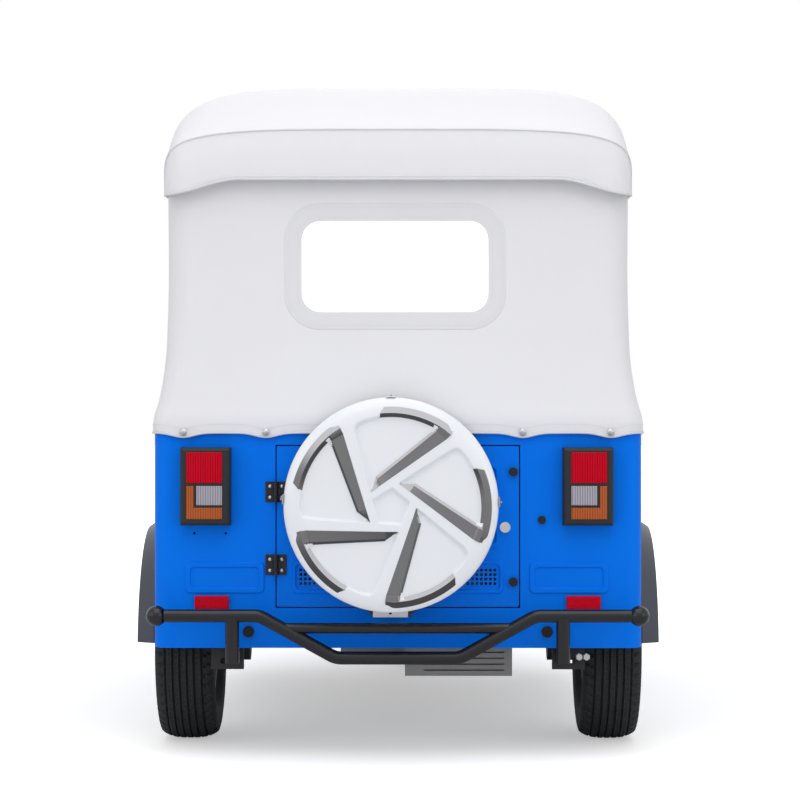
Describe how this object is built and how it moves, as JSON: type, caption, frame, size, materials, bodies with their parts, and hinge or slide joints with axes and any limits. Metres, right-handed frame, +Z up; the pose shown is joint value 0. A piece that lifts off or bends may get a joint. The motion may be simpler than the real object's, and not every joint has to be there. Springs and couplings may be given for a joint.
{
  "type": "auto rickshaw",
  "caption": "Three-wheeled passenger auto rickshaw with a blue tub, white canvas hood, rear engine door carrying a covered spare wheel, and a tube bumper.",
  "frame": {"origin": "on the ground under the middle of the whole vehicle", "axes": "+Y forward along the vehicle, +X to its right, +Z up"},
  "size_m": [1.3898, 2.8342, 1.7099],
  "materials": {
    "aluminium": "cast aluminium",
    "amber_lens": "moulded amber lens",
    "black_plastic": "textured black plastic",
    "black_steel": "gloss black enamel",
    "body_blue": "gloss blue body paint",
    "canvas_white": "white coated canvas",
    "chrome": "bright plated",
    "clear_film": "milky flexible window film",
    "clear_lens": "moulded clear lens",
    "cover_white": "gloss white moulding",
    "exhaust": "heat stained steel",
    "galvanised": "plated steel",
    "glass": "clear laminated glass",
    "red_lens": "moulded red lens",
    "rubber": "moulded rubber",
    "tyre": "road rubber",
    "vinyl_black": "black seat vinyl",
    "wheel_paint": "silver wheel enamel"
  },
  "bodies": {
    "root": {"chassis_rails": "black_steel", "cross_members": "black_steel", "steering_head": "black_steel", "floor_pan": "black_steel", "rear_tub": "body_blue", "bulkhead": "body_blue", "wheel_houses": "black_steel", "side_sills": "body_blue", "front_cowl": "body_blue", "dashboard": "black_plastic", "windscreen_frame": "black_steel", "windscreen_glass": "glass", "canopy_frame": "black_steel", "canopy_roof": "canvas_white", "canopy_walls": "canvas_white", "window_film": "clear_film", "arch_flares": "black_plastic", "tail_lamp_housings": "black_plastic", "tail_lamp_red": "red_lens", "tail_lamp_amber": "amber_lens", "tail_lamp_clear": "clear_lens", "reflectors": "red_lens", "rear_bumper": "black_steel", "engine_block": "aluminium", "muffler": "exhaust", "trailing_arms": "black_steel", "drive_shafts": "galvanised", "dampers": "black_steel", "partition": "body_blue", "driver_seat_box": "body_blue", "seat_cushions": "vinyl_black", "seat_backrests": "vinyl_black", "headlamps": "chrome", "headlamp_lenses": "glass", "front_indicators": "amber_lens", "mirrors": "black_plastic", "body_plugs": "rubber", "body_hinges": "black_steel"},
    "steering": {"front_fork": "black_steel", "handlebar": "black_steel", "grips": "rubber", "front_mudguard": "body_blue"},
    "front_wheel": {"front_tyre": "tyre", "front_rim": "wheel_paint"},
    "rear_left_wheel": {"rear_left_tyre": "tyre", "rear_left_rim": "wheel_paint"},
    "rear_right_wheel": {"rear_right_tyre": "tyre", "rear_right_rim": "wheel_paint"},
    "rear_door": {"door_panel": "body_blue", "vent_mesh": "body_blue", "door_hinges": "black_steel", "door_buffers": "rubber", "door_lock": "chrome", "spare_carrier": "black_steel", "carrier_plate": "galvanised", "spare_tyre": "tyre", "spare_rim": "wheel_paint", "spare_cover": "cover_white"}
  },
  "joints": [
    {"name": "steering_turn", "type": "hinge", "parent": "root", "child": "steering", "pos_m": [0, 1.13531, 0.24032], "axis": [0, -0.4226, 0.9063], "range_deg": [-36, 36]},
    {"name": "front_wheel_spin", "type": "hinge", "parent": "steering", "child": "front_wheel", "pos_m": [0, 1.1625, 0.253], "axis": [1, 0, 0], "continuous": true},
    {"name": "rear_left_wheel_spin", "type": "hinge", "parent": "root", "child": "rear_left_wheel", "pos_m": [-0.539, -0.8375, 0.253], "axis": [1, 0, 0], "continuous": true},
    {"name": "rear_right_wheel_spin", "type": "hinge", "parent": "root", "child": "rear_right_wheel", "pos_m": [0.539, -0.8375, 0.253], "axis": [1, 0, 0], "continuous": true},
    {"name": "rear_door_swing", "type": "hinge", "parent": "root", "child": "rear_door", "pos_m": [-0.2985, -1.2285, 0.56], "axis": [0, 0, -1], "range_deg": [0, 80]}
  ]
}
